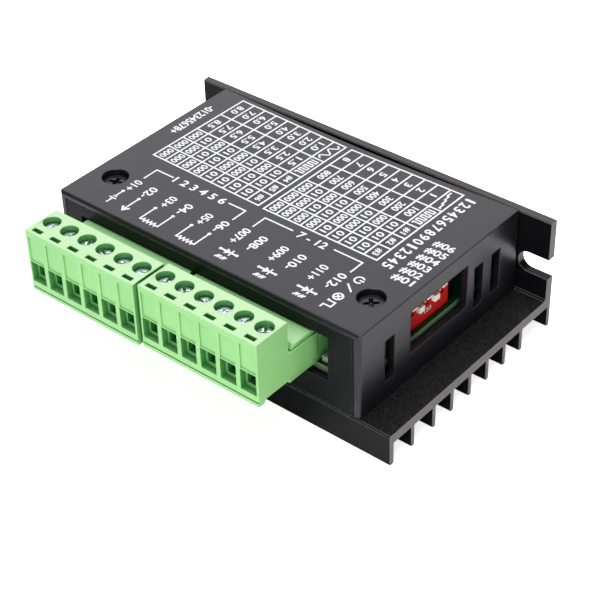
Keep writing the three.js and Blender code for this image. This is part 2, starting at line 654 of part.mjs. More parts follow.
const driver = new THREE.Group();
driver.add(heatSink(), topCover(), frontPanel(), ...coverScrews());
driver.add(circuitBoard(), driverChip(), thermalPad(), ...chipScrews(), capacitor(), statusLed());
driver.add(switchBody(), ...switchSliders());
driver.add(header('header_left', PLUGS[0]), header('header_right', PLUGS[1]), ...headerPins());
driver.add(...PLUGS.map(plugBody), ...clampScrews(), ...wireCages());
driver.position.y = -ORIGIN_FIN;

const stepperDriver = new THREE.Group();
stepperDriver.add(driver);

export default stepperDriver;
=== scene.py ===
"""Looks for the stepper driver module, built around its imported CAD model.

Blender works in metres; lengths here are in millimetres until mm() turns them over.
+Z is up, +X runs along the heat sink to the switch end, +Y from the terminals to the back.
"""

import json
import math

import bmesh
import bpy
from mathutils import Matrix, Vector


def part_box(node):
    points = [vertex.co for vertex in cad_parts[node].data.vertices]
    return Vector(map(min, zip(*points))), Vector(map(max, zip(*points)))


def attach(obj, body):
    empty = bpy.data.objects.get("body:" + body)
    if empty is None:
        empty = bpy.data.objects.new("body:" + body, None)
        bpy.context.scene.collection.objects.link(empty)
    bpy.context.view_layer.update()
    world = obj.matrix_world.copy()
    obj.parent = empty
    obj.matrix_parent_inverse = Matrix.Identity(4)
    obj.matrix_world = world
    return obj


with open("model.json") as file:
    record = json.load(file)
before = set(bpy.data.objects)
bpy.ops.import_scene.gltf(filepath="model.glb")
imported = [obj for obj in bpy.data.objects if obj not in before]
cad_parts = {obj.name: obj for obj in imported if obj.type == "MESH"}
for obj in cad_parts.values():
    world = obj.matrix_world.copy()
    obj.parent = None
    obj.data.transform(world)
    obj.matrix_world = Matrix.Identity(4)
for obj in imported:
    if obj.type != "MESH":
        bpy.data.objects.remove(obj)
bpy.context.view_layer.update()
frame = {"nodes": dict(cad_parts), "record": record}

MM = 0.001


def mm(*values):
    """Millimetres to metres: one number, or a vector."""
    return values[0] * MM if len(values) == 1 else Vector(values) * MM


def box_mm(node):
    """The two corners of a CAD node's box, in millimetres."""
    lo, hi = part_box(node)
    return lo / MM, hi / MM


# ---- Materials ----------------------------------------------------------------------


class Finish:
    """A node material being put together around one Principled shader."""

    def __init__(self, name, **inputs):
        self.mat = bpy.data.materials.new(name)
        self.mat.use_nodes = True
        self.tree = self.mat.node_tree
        self.shader = self.tree.nodes["Principled BSDF"]
        self.place = self.node("ShaderNodeTexCoord").outputs["Object"]
        self.set(**inputs)

    def set(self, **inputs):
        """Sets or links the shader's inputs; underscores stand for spaces."""
        for name, value in inputs.items():
            self.feed(self.shader.inputs[name.replace("_", " ")], value)
        return self

    def feed(self, socket, value):
        if isinstance(value, bpy.types.NodeSocket):
            self.tree.links.new(value, socket)
        elif isinstance(value, tuple) and len(value) == 3:
            socket.default_value = (*value, 1) if socket.type == "RGBA" else value
        else:
            socket.default_value = value

    def node(self, kind, **settings):
        made = self.tree.nodes.new(kind)
        for name, value in settings.items():
            setattr(made, name, value)
        return made

    def noise(self, size, detail=3.0, stretch=(1, 1, 1), rough=0.5):
        """Cloudy pattern from 0 to 1 whose patches are about size millimetres across."""
        mapping = self.node("ShaderNodeMapping")
        self.feed(mapping.inputs["Vector"], self.place)
        mapping.inputs["Scale"].default_value = stretch
        cloud = self.node("ShaderNodeTexNoise")
        self.feed(cloud.inputs["Vector"], mapping.outputs[0])
        cloud.inputs["Scale"].default_value = 1 / mm(size)
        cloud.inputs["Detail"].default_value = detail
        cloud.inputs["Roughness"].default_value = rough
        return cloud.outputs["Fac"]

    def cells(self, size, feature):
        """Distance pattern of cells about size millimetres across."""
        grid = self.node("ShaderNodeTexVoronoi", feature=feature)
        self.feed(grid.inputs["Vector"], self.place)
        grid.inputs["Scale"].default_value = 1 / mm(size)
        return grid.outputs["Distance"]

    def span(self, value, low, high, start=0.0, end=1.0):
        """Maps value from low..high to start..end, held at the ends."""
        made = self.node("ShaderNodeMapRange")
        for name, given in zip(("Value", "From Min", "From Max", "To Min", "To Max"),
                               (value, low, high, start, end)):
            self.feed(made.inputs[name], given)
        return made.outputs[0]

    def mix(self, share, first, second):
        """A colour between two: first at share 0, second at share 1."""
        made = self.node("ShaderNodeMix", data_type="RGBA")
        self.feed(made.inputs[0], share)
        self.feed(made.inputs[6], first)
        self.feed(made.inputs[7], second)
        return made.outputs[2]

    def maths(self, operation, *values):
        made = self.node("ShaderNodeMath", operation=operation)
        for socket, value in zip(made.inputs, values):
            self.feed(socket, value)
        return made.outputs[0]

    def facing(self, axis):
        """How far the surface faces along an axis, 0 to 1, on either side."""
        parts = self.node("ShaderNodeSeparateXYZ")
        self.feed(parts.inputs[0], self.node("ShaderNodeNewGeometry").outputs["Normal"])
        return self.maths("ABSOLUTE", parts.outputs[axis])

    def edges(self, radius):
        """1 on outer edges and 0 on flat faces: where edge wear and painted edge highlights go."""
        rounded = self.node("ShaderNodeBevel", samples=4)
        rounded.inputs["Radius"].default_value = mm(radius)
        dot = self.node("ShaderNodeVectorMath", operation="DOT_PRODUCT")
        self.feed(dot.inputs[0], rounded.outputs[0])
        self.feed(dot.inputs[1], self.node("ShaderNodeNewGeometry").outputs["Normal"])
        return self.span(dot.outputs["Value"], 0.995, 0.9)

    def openness(self, reach):
        """1 in the open and 0 deep in holes and corners narrower than reach millimetres."""
        made = self.node("ShaderNodeAmbientOcclusion", samples=6)
        made.inputs["Distance"].default_value = mm(reach)
        return made.outputs["AO"]

    def height(self):
        """Height above the feet, in metres."""
        parts = self.node("ShaderNodeSeparateXYZ")
        self.feed(parts.inputs[0], self.place)
        return parts.outputs[2]

    def bump(self, height, depth, rounding=0.0):
        """Lets a 0..1 pattern stand depth millimetres high, over edges rounded to a radius."""
        made = self.node("ShaderNodeBump")
        made.inputs["Distance"].default_value = mm(depth)
        if rounding:
            rounded = self.node("ShaderNodeBevel", samples=6)
            rounded.inputs["Radius"].default_value = mm(rounding)
            self.feed(made.inputs["Normal"], rounded.outputs[0])
        self.feed(made.inputs["Height"], height)
        return self.set(Normal=made.outputs[0])


WALL_TOP_MILLED = (mm(26.9), mm(27.3))   # heights where the back wall's black gives way to milling
FLAT_FACE = (0.8, 0.95)                  # how squarely a face looks along an axis to count as flat
ROUGH_SPAN = (0.3, 0.7)                  # the part of a noise that roughness is spread over


def grey(level, tint=(1, 1, 1)):
    return tuple(level * t for t in tint)


def anodised_black():
    """Black anodised extrusion: speckled faces, paler sawn ends, a milled top to the wall, and outer
    edges paled partly by wear and partly by a painted highlight.
    """
    made = Finish("anodised_black")
    lines = made.noise(0.35, 4, stretch=(0.012, 1, 1))
    grain = made.noise(0.2, 2)
    speck = made.noise(0.2, 2, rough=0.4)
    saw = made.noise(0.12, 3, stretch=(1, 1, 0.1))
    body = made.mix(lines, grey(0.002, (1, 0.97, 1.15)), grey(0.005, (1, 0.97, 1.15)))
    up = made.maths("MULTIPLY", made.span(made.facing(2), *FLAT_FACE), made.span(speck, 0.5, 0.66))
    body = made.mix(made.maths("MULTIPLY", up, 0.6), body, grey(0.045))
    ends = made.mix(saw, grey(0.105, (1, 0.94, 0.96)), grey(0.185, (1, 0.93, 0.95)))
    sawn = made.span(made.facing(0), 0.85, 0.95)
    colour = made.mix(sawn, body, ends)
    milled = made.span(made.height(), *WALL_TOP_MILLED, 0, 0.85)
    bare = made.mix(lines, grey(0.045, (1, 0.93, 0.93)), grey(0.07, (1, 0.9, 0.9)))
    colour = made.mix(milled, colour, bare)
    # Outer edges paler: partly wear, partly a painted highlight line.
    colour = made.mix(made.maths("MULTIPLY", made.edges(0.2), 0.8), colour, grey(0.24))
    rough = made.span(grain, *ROUGH_SPAN, 0.3, 0.42)
    made.set(Base_Color=colour, Roughness=rough, Specular_IOR_Level=0.1)
    height = made.maths("ADD", made.maths("MULTIPLY", lines, 0.5), made.maths("MULTIPLY", grain, 0.5))
    made.bump(height, 0.01)
    return made.mat


def moulded(name, colour, texture=0.22, depth=0.008, rough=(0.4, 0.55), tint=0.12, wear_and_highlight=0.25, gloss=0.5,
            rounding=0.0):
    """Moulded plastic: spark-eroded grain, faint flow clouds and slightly paler edges, partly wear and
    partly a painted edge highlight.
    """
    made = Finish(name, Specular_IOR_Level=gloss)
    grain = made.noise(texture, 4, rough=0.65)
    clouds = made.noise(9, 2)
    pale = tuple(min(1.0, c * (1 + 2 * tint) + 0.002) for c in colour)
    dark = tuple(c * (1 - tint) for c in colour)
    base = made.mix(clouds, dark, pale)
    edge = tuple(min(1.0, c * 1.6 + 0.05) for c in colour)
    # Outer edges paler: partly wear, partly a painted highlight line along them.
    base = made.mix(made.maths("MULTIPLY", made.edges(0.18), wear_and_highlight), base, edge)
    base = made.mix(made.span(grain, 0.62, 0.8, 0, 0.3), base, pale)
    made.colour = base
    made.set(Base_Color=base, Roughness=made.span(grain, *ROUGH_SPAN, *rough))
    made.bump(grain, depth, rounding)
    return made


def cover_plastic():
    return moulded("cover_plastic", (0.0055, 0.005, 0.0085), 0.4, 0.028, (0.26, 0.38),
                   wear_and_highlight=0.3, gloss=0.45, rounding=0.45).mat


def panel_plastic():
    return moulded("panel_plastic", (0.004, 0.0045, 0.005), 0.2, 0.01, (0.3, 0.42),
                   wear_and_highlight=1.0, gloss=0.1).mat


def terminal_green():
    """Light green polyamide, paler on its upward faces from painted light and deeper green in its holes
    and grooves from painted shade.
    """
    made = moulded("terminal_green", (0.25, 0.56, 0.19), 0.3, 0.006, (0.38, 0.5), 0.05, 0.3, gloss=0.6)
    # Painted shade: deep green where the surface is hemmed in by holes, grooves and the cover.
    shade = made.span(made.openness(10), 0.25, 0.8)
    # Painted light: upward faces mixed to a paler green, as if lit from above.
    painted_top_light = made.mix(made.span(made.facing(2), *FLAT_FACE), made.colour, (0.33, 0.5, 0.27))
    made.set(Base_Color=made.mix(shade, (0.015, 0.2, 0.03), painted_top_light))
    return made.mat


def switch_red():
    return moulded("switch_red", (0.46, 0.003, 0.003), 0.15, 0.003, (0.35, 0.5), 0.02,
                   wear_and_highlight=0.1, gloss=0.1).mat


def slider_cream():
    return moulded("slider_cream", (0.82, 0.76, 0.66), 0.15, 0.003, (0.35, 0.5), 0.04).mat


def chip_black():
    return moulded("chip_black", (0.014, 0.014, 0.015), 0.1, 0.006, (0.5, 0.7)).mat


def pad_grey():
    return moulded("pad_grey", (0.3, 0.32, 0.34), 0.4, 0.01, (0.7, 0.9)).mat


def brushed(name, colour, rough, stretch, metallic=1.0):
    """Plated or drawn metal with fine scratches and dull patches."""
    made = Finish(name, Metallic=metallic)
    scratch = made.noise(0.09, 3, stretch=stretch)
    patches = made.noise(0.9, 3)
    dark = tuple(c * 0.72 for c in colour)
    base = made.mix(made.span(patches, 0.3, 0.75), colour, dark)
    made.set(Base_Color=base, Roughness=made.span(scratch, *ROUGH_SPAN, *rough))
    made.bump(scratch, 0.004)
    return made.mat


def bright_steel():
    return brushed("bright_steel", (0.82, 0.9, 0.94), (0.3, 0.45), (1, 0.12, 1))


def tinned_brass():
    return brushed("tinned_brass", (0.66, 0.62, 0.5), (0.25, 0.42), (1, 1, 0.2))


def can_aluminium():
    return brushed("can_aluminium", (0.6, 0.61, 0.63), (0.22, 0.4), (1, 1, 0.1))


def black_steel():
    return brushed("black_steel", (0.05, 0.05, 0.054), (0.24, 0.42), (1, 0.3, 1), 0.85)


def cage_steel():
    """Plain steel of the wire cages, with painted shade deep inside the plug."""
    made = Finish("cage_steel", Metallic=0.3)
    blotch = made.noise(0.5, 3)
    shade = made.openness(2.5)
    # Painted shade: near black where the cage is enclosed.
    made.set(Base_Color=made.mix(shade, grey(0.004), made.mix(blotch, grey(0.05), grey(0.1))))
    made.set(Roughness=made.span(blotch, *ROUGH_SPAN, 0.5, 0.65))
    made.bump(blotch, 0.01)
    return made.mat


def board_green():
    """Solder mask over copper tracks on the faces, bare glass laminate on the cut edges, and painted
    shade deep under the cover.
    """
    made = Finish("board_green", Specular_IOR_Level=0.2)
    tracks = made.span(made.cells(1.7, "DISTANCE_TO_EDGE"), 0.05, 0.1, 1, 0)
    weave = made.noise(0.25, 2, stretch=(1, 1, 0.1))
    mask = made.mix(tracks, (0.001, 0.11, 0.025), (0.003, 0.15, 0.04))
    edge = made.mix(weave, (0.1, 0.15, 0.085), (0.17, 0.24, 0.14))
    side = made.span(made.facing(2), 0.6, 0.4)
    # Painted shade: near black where the board is hemmed in under the cover.
    shade = made.span(made.openness(14), 0.3, 0.75, 0.1, 1)
    made.set(Base_Color=made.mix(shade, (0.0, 0.006, 0.001), made.mix(side, mask, edge)))
    made.set(Roughness=made.span(weave, *ROUGH_SPAN, 0.28, 0.42))
    made.bump(tracks, 0.02)
    return made.mat


def led_clear():
    """Clear lens, a little hazy."""
    made = Finish("led_clear", Transmission_Weight=0.75, IOR=1.5)
    haze = made.noise(0.6, 2)
    made.set(Base_Color=made.mix(haze, (0.8, 0.86, 0.74), (0.7, 0.8, 0.62)))
    made.set(Roughness=made.span(haze, *ROUGH_SPAN, 0.08, 0.22))
    made.bump(haze, 0.01)
    return made.mat


def printed_white():
    """Screen ink: slightly uneven, thinner in pinholes."""
    made = Finish("printed_white")
    film = made.noise(0.18, 3)
    thin = made.span(film, 0.3, 0.45, 0.35, 0.0)
    made.set(Base_Color=made.mix(thin, (0.6, 0.6, 0.62), (0.36, 0.36, 0.37)), Roughness=0.5)
    made.bump(film, 0.004)
    return made.mat


def solder():
    return brushed("solder", (0.3, 0.32, 0.32), (0.3, 0.5), (1, 1, 1), 0.6)


def part_ceramic():
    return moulded("part_ceramic", (0.05, 0.045, 0.035), 0.1, 0.003, (0.35, 0.5), 0.05).mat


FINISHES = {made.__name__: made() for made in (
    anodised_black, cover_plastic, panel_plastic, black_steel, terminal_green, bright_steel, cage_steel,
    tinned_brass, switch_red, slider_cream, board_green, chip_black, pad_grey, can_aluminium,
    led_clear, printed_white, solder, part_ceramic)}


# ---- CAD nodes: finish and softened edges -------------------------------------------

# Radius of the softened edges, by finish.
EDGE_WIDTHS = {"anodised_black": 0.08, "cover_plastic": 0.14, "panel_plastic": 0.08,
               "terminal_green": 0.07, "switch_red": 0.06, "slider_cream": 0.1}
EDGE_WIDTH = 0.05
EDGE_SEGMENTS = 2
SHARP_ANGLE = 32
WELD_GAP = 0.0005


def soften(piece, width):
    """Rounds the sharp edges and keeps the flats flat."""
    spare = piece.data.attributes.get("custom_normal")
    if spare:
        piece.data.attributes.remove(spare)
    piece.data.shade_smooth()
    weld = piece.modifiers.new("weld", "WELD")
    weld.merge_threshold = mm(WELD_GAP)
    bevel = piece.modifiers.new("soft_edges", "BEVEL")
    bevel.limit_method = "ANGLE"
    bevel.angle_limit = math.radians(SHARP_ANGLE)
    bevel.width = mm(width)
    bevel.segments = EDGE_SEGMENTS
    bevel.use_clamp_overlap = True
    flats = piece.modifiers.new("flats", "WEIGHTED_NORMAL")
    flats.keep_sharp = True
    flats.weight = 100


for part in frame["record"]["subparts"]:
    finish = "cage_steel" if part["node"].startswith("wire_cage") else part["material_slot"]
    shown = frame["nodes"][part["node"]]
    shown.data.materials.clear()
    shown.data.materials.append(FINISHES[finish])
    soften(shown, EDGE_WIDTHS.get(finish, EDGE_WIDTH))


# ---- Flat ink -----------------------------------------------------------------------

INK_THICK = 0.02
MOST_STRETCH = 1.45   # how far a string may be widened beyond its own shape
LEVEL = 0.002         # step in height that keeps overlapping shapes apart
LEVELS = 4
STROKE_SPREAD = 0.022
MERGE_GAP = 1e-5
SHARPEST_MITRE = 0.35


def glyph_faces(string):
    """A string's width to height ratio, and its faces as (u, v) in a box from -0.5 to 0.5."""
    curve = bpy.data.curves.new("glyphs", "FONT")
    curve.body = string
    curve.resolution_u = 3
    curve.offset = STROKE_SPREAD
    holder = bpy.data.objects.new("glyphs", curve)
    bpy.context.scene.collection.objects.link(holder)
    bpy.context.view_layer.update()
    mesh = bpy.data.meshes.new_from_object(holder)
    us, vs = [v.co.x for v in mesh.vertices], [v.co.y for v in mesh.vertices]
    middle = ((max(us) + min(us)) / 2, (max(vs) + min(vs)) / 2)
    size = (max(us) - min(us), max(vs) - min(vs))
    flat = [((u - middle[0]) / size[0], (v - middle[1]) / size[1]) for u, v in zip(us, vs)]
    faces = [[flat[i] for i in face.vertices] for face in mesh.polygons]
    bpy.data.objects.remove(holder)
    bpy.data.curves.remove(curve)
    bpy.data.meshes.remove(mesh)
    return size[0] / size[1], faces


class Ink:
    """Flat shapes printed on one face. A pen position and turn place what is drawn next."""

    def __init__(self):
        self.bm = bmesh.new()
        self.centre = Vector((0, 0))
        self.turn = 0.0
        self.level = 0
        self.glyphs = {}

    def at(self, u, v, turn=0.0):
        """Moves the pen: the next shapes are drawn about (u, v), turned by turn degrees."""
        self.centre = Vector((u, v))
        self.turn = math.radians(turn)
        self.level = (self.level + 1) % LEVELS
        return self

    def face(self, points):
        c, s = math.cos(self.turn), math.sin(self.turn)
        height = self.level * LEVEL
        corners = [(self.centre.x + c * u - s * v, self.centre.y + s * u + c * v, height)
                   for u, v in points]
        self.bm.faces.new([self.bm.verts.new(corner) for corner in corners])

    def line(self, points, width, closed=False):
        """An even line with mitred corners."""
        path = [Vector(p) for p in points]
        count = len(path)
        sides = []
        for i, point in enumerate(path):
            before = path[i - 1] if i or closed else point
            after = path[(i + 1) % count] if i + 1 < count or closed else point
            into = (point - before).normalized() if point != before else None
            out = (after - point).normalized() if after != point else None
            into, out = into or out, out or into
            normal = Vector((-(into.y + out.y), into.x + out.x)).normalized()
            reach = width / 2 / max(SHARPEST_MITRE, normal.dot(Vector((-out.y, out.x))))
            sides.append((point + normal * reach, point - normal * reach))
        for i in range(count if closed else count - 1):
            (a, b), (c, d) = sides[i], sides[(i + 1) % count]
            self.face([a, b, d, c])
        return self

    def bar(self, u0, u1, v0, v1):
        """A filled rectangle."""
        self.face([(u0, v0), (u1, v0), (u1, v1), (u0, v1)])
        return self

    def disc(self, u, v, radius, sides=16):
        turn = 2 * math.pi / sides
        self.level += 1
        self.face([(u + radius * math.cos(i * turn), v + radius * math.sin(i * turn))
                   for i in range(sides)])
        self.level -= 1
        return self

    def arc(self, u, v, radius, start, end, width, steps=20):
        spots = [math.radians(start + (end - start) * i / steps) for i in range(steps + 1)]
        closed = abs(end - start) >= 360
        path = [(u + radius * math.cos(a), v + radius * math.sin(a)) for a in spots]
        return self.line(path[:-1] if closed else path, width, closed)

    def text(self, string, length, height):
        """Digits or signs of a height, centred on the pen and stretched towards a length."""
        if string not in self.glyphs:
            self.glyphs[string] = glyph_faces(string)
        ratio, faces = self.glyphs[string]
        length = min(length, ratio * height * MOST_STRETCH)
        for points in faces:
            self.face([(u * length, v * height) for u, v in points])
        return self

    def piece(self, name, place):
        """Gives the ink its thickness and lays it on a face; place maps (u, v, 0) to the frame."""
        bmesh.ops.remove_doubles(self.bm, verts=self.bm.verts, dist=MERGE_GAP)
        for face in self.bm.faces:
            if face.normal.z < 0:
                face.normal_flip()
        raised = bmesh.ops.extrude_face_region(self.bm, geom=self.bm.faces[:], use_keep_orig=True)
        tops = [v for v in raised["geom"] if isinstance(v, bmesh.types.BMVert)]
        bmesh.ops.translate(self.bm, verts=tops, vec=(0, 0, INK_THICK))
        bmesh.ops.recalc_face_normals(self.bm, faces=self.bm.faces[:])
        bmesh.ops.transform(self.bm, matrix=Matrix.Scale(MM, 4) @ place, verts=self.bm.verts)
        return add_piece(name, self.bm, "printed_white")


def add_piece(name, bm, finish):
    """Turns finished mesh data into a piece that rides on the housing."""
    mesh = bpy.data.meshes.new(name)
    bm.to_mesh(mesh)
    bm.free()
    mesh.materials.append(FINISHES[finish])
    made = bpy.data.objects.new(name, mesh)
    bpy.context.scene.collection.objects.link(made)
    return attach(made, "root")


# ---- Printed markings on the cover --------------------------------------------------

COVER_LO, COVER_HI = box_mm("top_cover")
COVER_FRONT = COVER_LO.y
READ = -90          # most of the print reads from back to front
LINE = 0.4
THIN = 0.38
STOUT = 0.5
BANDS = (7.5, 7.6, 4.55, 4.5, 4.55)   # depths of a table's rows, from the back to the front
STRIPS = 9          # columns of a table, the last one for its headings
VALUE_HEIGHT = 1.8
SIGN_LENGTH = 6.0
SIGN_HEIGHT = 1.7


def on_cover(ink, name):
    return ink.piece(name, Matrix.Translation((0, 0, COVER_HI.z)))


def pulse_sign(ink, length, height, count):
    """A train of square pulses."""
    step = length / (2 * count)
    path = [(-length / 2, -height / 2)]
    for i in range(2 * count):
        u = -length / 2 + step * i
        level = height / 2 if i % 2 == 0 else -height / 2
        path += [(u + step * 0.25, path[-1][1]), (u + step * 0.25, level)]
    path.append((length / 2, path[-1][1]))
    ink.line(path, THIN)


def wave_sign(ink, length, height, count):
    """A run of sine waves."""
    steps = 12 * count
    ink.line([(length * (i / steps - 0.5), height / 2 * math.sin(2 * math.pi * count * i / steps))
              for i in range(steps + 1)], THIN)


class Table:
    """A printed table whose four corners are given as front-left, front-right, back-right, back-left."""

    def __init__(self, ink, corners):
        self.ink = ink
        self.corners = [Vector(c) for c in corners]
        total = sum(BANDS)
        self.rows = [0]
        for depth in reversed(BANDS):
            self.rows.append(self.rows[-1] + depth / total)
        self.columns = [i / STRIPS for i in range(STRIPS + 1)]

    def spot(self, s, t):
        """The point at share s along the width and t from front to back."""
        front_left, front_right, back_right, back_left = self.corners
        return front_left.lerp(front_right, s).lerp(back_left.lerp(back_right, s), t)

    def rule(self):
        """Draws every line as one connected grid."""
        width = (self.corners[1] - self.corners[0]).length
        depth = (self.corners[3] - self.corners[0]).length

        def edges(places, size):
            half = LINE / 2 / size
            return [edge for p in places for edge in (p - half, p + half)]

        across, along = edges(self.columns, width), edges(self.rows, depth)
        self.ink.at(0, 0)
        for i in range(len(across) - 1):
            for j in range(len(along) - 1):
                if i % 2 == 0 or j % 2 == 0:
                    corners = ((i, j), (i + 1, j), (i + 1, j + 1), (i, j + 1))
                    self.ink.face([self.spot(across[a], along[b]) for a, b in corners])

    def cell(self, strip, row):
        """Moves the pen to the middle of a cell, ready to write along it."""
        s = (self.columns[strip] + self.columns[strip + 1]) / 2
        t = (self.rows[row] + self.rows[row + 1]) / 2
        back, front = self.spot(s, 1), self.spot(s, 0)
        lean = math.degrees(math.atan2(back.x - front.x, back.y - front.y))
        return self.ink.at(*self.spot(s, t), READ - lean)


def settings_table(name, corners, outer, inner, first_switch, outer_sign, inner_sign):
    """One table: a value in each of two deep rows, and switch settings in three shallow ones."""
    ink = Ink()
    table = Table(ink, corners)
    table.rule()
    deep_outer, deep_inner = 4, 3
    for strip in range(STRIPS - 1):
        table.cell(strip, deep_outer).text(outer[strip], 1.0 * len(outer[strip]) + 0.3, VALUE_HEIGHT)
        table.cell(strip, deep_inner).text(inner[strip], 1.05 * len(inner[strip]) + 0.25, VALUE_HEIGHT)
        for bit in range(3):
            is_on = not (STRIPS - 2 - strip) >> bit & 1
            state, length = ("01", 2.5) if is_on else ("000", 3.5)
            table.cell(strip, 2 - bit).text(state, length, VALUE_HEIGHT)
    outer_sign(table.cell(STRIPS - 1, deep_outer), SIGN_LENGTH, SIGN_HEIGHT, 2)
    inner_sign(table.cell(STRIPS - 1, deep_inner), SIGN_LENGTH, SIGN_HEIGHT, 4)
    for bit in range(3):
        table.cell(STRIPS - 1, 2 - bit).text(f"#{first_switch + bit}", 2.3, SIGN_HEIGHT)
    return on_cover(ink, name)


def staircase_sign(ink, length, height, count):
    """Rising steps."""
    path = [(-length / 2, -height / 2)]
    for i in range(2 * count):
        u = -length / 2 + length * (i + 1) / (2 * count)
        v = -height / 2 + height * (i + 1) / (2 * count)
        path += [(u, path[-1][1]), (u, v)]
    ink.line(path, THIN)


def cover_place(across, from_front):
    """A point on the cover, from the middle of its length and from its front edge."""
    return (across, COVER_FRONT + from_front)


LEFT_TABLE = ((-34.1, 22.35), (-3.2, 21.5), (-2.7, 50.15), (-33.6, 51.35))
RIGHT_TABLE = ((-1.6, 21.25), (27.95, 21.3), (28.3, 50.55), (-1.1, 50.15))


def print_tables():
    """The two setting tables, printed slightly out of square."""
    left = [cover_place(*p) for p in LEFT_TABLE]
    right = [cover_place(*p) for p in RIGHT_TABLE]
    settings_table("print_table_left", left, [f"{n}.0" for n in range(8, 0, -1)],
                   [f"{n}.5" for n in range(8, 0, -1)], 4, wave_sign, pulse_sign)
    settings_table("print_table_right", right, [str(n) for n in range(8, 0, -1)],
                   [f"{n}00" for n in range(8, 0, -1)], 1, staircase_sign, pulse_sign)


POLES = range(1, 13)
POLE_X = {k: (box_mm(f"clamp_screw_{k}")[0].x + box_mm(f"clamp_screw_{k}")[1].x) / 2 for k in POLES}
LABEL_FROM_FRONT = 11.0
LABEL_HEIGHT = 2.1
DOT = 0.42            # radius of the dot where a sign's lead starts
DIODE_DOT = 0.38

# One group per plug: label shifts for odd and even poles, then the bracket's ends, arms, legs and
# distance from the front edge.
GROUPS = (
    {"poles": POLES[:6], "numbers": "{:02d}", "title": "1 2 3 4 5 6", "title_size": (14.4, 2.2),
     "shift": (1.2, 0.65), "ends": (1.0, 0.9), "arms": (4.9, 4.7), "legs": 4.1, "back": 18.35},
    {"poles": POLES[6:], "numbers": "{:03d}", "title": "7 - 12", "title_size": (7.4, 2.2),
     "shift": (0.05, -0.4), "ends": (0.1, 0.1), "arms": (7.5, 7.3), "legs": 4.0, "back": 18.9},
)


def bracket(ink, u, v, arm, leg):
    """A corner line: leg runs to the front, arm runs along; a negative arm runs to -X."""
    ink.at(u, v).line([(0, -leg), (0, 0), (arm, 0)], THIN)


def pole_labels(ink, group):
    """A number and a sign behind each terminal."""
    for i, k in enumerate(group["poles"]):
        text = group["numbers"].format(k) + ("+" if k % 2 else "-")
        u, v = cover_place(POLE_X[k] + group["shift"][i % 2], LABEL_FROM_FRONT)
        ink.at(u, v, READ).text(text, 1.4 * len(text) - 0.2, LABEL_HEIGHT)


def group_title(ink, group):
    """A heading between two brackets that span a plug."""
    first, last = POLE_X[group["poles"][0]], POLE_X[group["poles"][-1]]
    left, right = first + group["ends"][0], last + group["ends"][1]
    v = COVER_FRONT + group["back"]
    bracket(ink, left, v, group["arms"][0], group["legs"])
    bracket(ink, right, v, -group["arms"][1], group["legs"])
    ink.at((left + right) / 2, v - 0.2).text(group["title"], *group["title_size"])


def cell_sign(ink, x):
    """A battery cell between two leads."""
    length = 5.2
    ink.at(*cover_place(x, 8.2))
    plate = -length / 2 - 0.05
    ink.disc(0, -0.1, DOT)
    ink.line([(0, 0), (0, plate + 0.25)], THIN)
    ink.bar(-0.55, 0.55, plate, plate + 0.3)
    ink.bar(-0.95, 0.95, plate - 0.75, plate - 0.4)
    ink.line([(0, plate - 0.75), (0, -length)], THIN)


def arrow_sign(ink, x):
    """A line with a dot at one end and an open arrow head at the other."""
    length, start = 5.0, 8.0
    ink.at(*cover_place(x, start))
    ink.disc(0, -0.1, DOT)
    ink.line([(0, 0), (0, -length + 0.6)], THIN)
    ink.at(*cover_place(x, start - length)).line([(-0.95, 1.25), (0, 0), (0.95, 1.25)], STOUT)


def coil_sign(ink, x0, x1):
    """A winding between two terminals."""
    depth, teeth, lead = 4.7, 4, 0.55
    ink.at(*cover_place(0, 7.7))
    path = [(x0, 0), (x0, -depth), (x0 + lead, -depth)]
    pitch = (x1 - x0 - 2 * lead) / teeth
    for i in range(teeth):
        u = x0 + lead + pitch * i
        path += [(u + pitch * 0.35, -depth + 0.55), (u + pitch * 0.8, -depth - 0.35)]
    path += [(x1 - lead, -depth), (x1, -depth), (x1, 0)]
    ink.line(path, THIN)
    ink.disc(x0, -0.05, DOT)
    ink.disc(x1, -0.05, DOT)


def diode_sign(ink, x):
    """A light-emitting diode on its lead, with two small arrows in front of it."""
    ink.at(*cover_place(x, 5.35))
    ink.line([(-2.2, 0), (-0.75, 0)], STOUT)
    ink.line([(0.8, 0), (2.2, 0)], STOUT)
    ink.disc(-2.15, 0, DIODE_DOT)
    ink.disc(2.15, 0, DIODE_DOT)
    ink.face([(-0.75, -0.95), (0.65, 0), (-0.75, 0.95)])
    ink.bar(0.5, 0.85, -1.0, 1.0)
    for u in (-0.75, 0.6):
        ink.at(*cover_place(x + u - 0.1, 3.1))
        ink.line([(-0.65, -0.5), (-0.1, 0.3), (0.1, -0.2), (0.6, 0.5)], 0.42)


def print_terminals():
    """Labels, headings and circuit signs behind the terminals."""
    ink = Ink()
    for group in GROUPS:
        pole_labels(ink, group)
        group_title(ink, group)
    cell_sign(ink, POLE_X[1] + 0.9)
    arrow_sign(ink, POLE_X[2] + 0.6)
    for k in (3, 5):
        coil_sign(ink, POLE_X[k] + 0.6, POLE_X[k + 1] + 0.5)
    for k in (7, 9, 11):
        diode_sign(ink, (POLE_X[k] + POLE_X[k + 1]) / 2 - 0.45)
    on_cover(ink, "print_terminals")


def power_sign(ink, size):
    """An open ring with a bar in its gap."""
    ink.arc(0, 0, size / 2, 125, 415, THIN)
    ink.line([(0, 0.1), (0, size / 2 + 0.2)], THIN)


def lamp_sign(ink, size):
    """A ring around a cross."""
    radius = size / 2
    ink.arc(0, 0, radius, 0, 360, THIN)
    c = (radius - THIN / 2) * math.cos(math.pi / 4)
    ink.line([(-c, -c), (c, c)], 0.35)
    ink.at(ink.centre.x, ink.centre.y, math.degrees(ink.turn)).line([(-c, c), (c, -c)], 0.35)


TITLE_COUNT = 15


